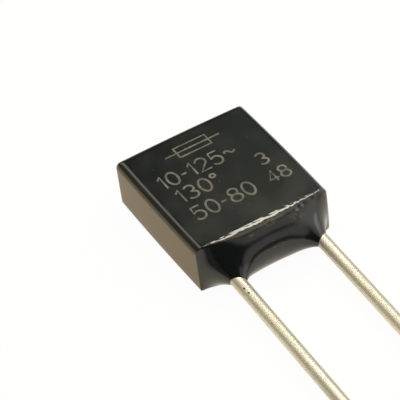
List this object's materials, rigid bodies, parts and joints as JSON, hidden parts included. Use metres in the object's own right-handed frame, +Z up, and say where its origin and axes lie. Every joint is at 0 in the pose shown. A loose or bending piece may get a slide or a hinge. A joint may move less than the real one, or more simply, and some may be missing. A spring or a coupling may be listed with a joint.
{
  "type": "thermal fuse",
  "caption": "Radial thermal fuse: a flat black moulded case, potted with resin at its mouth, with tinned wire leads that carry the current through a fusible link.",
  "frame": {"origin": "centre of the wide face of the case that the fuse lies on", "axes": "+X across the case, +Y from the lead end towards the closed back, +Z up through the thickness"},
  "size_m": [0.0086, 0.0258, 0.0032],
  "materials": {
    "case_plastic": "glossy moulded black",
    "seal_resin": "glossy black potting resin",
    "tinned_wire": "drawn wire with a warm tin coat",
    "fusible_alloy": "satin alloy",
    "flux_resin": "amber resin"
  },
  "bodies": {
    "root": {"case": "case_plastic", "seal": "seal_resin", "lead_left": "tinned_wire", "lead_right": "tinned_wire", "fusible_link": "fusible_alloy", "flux_coat": "flux_resin"}
  },
  "joints": []
}
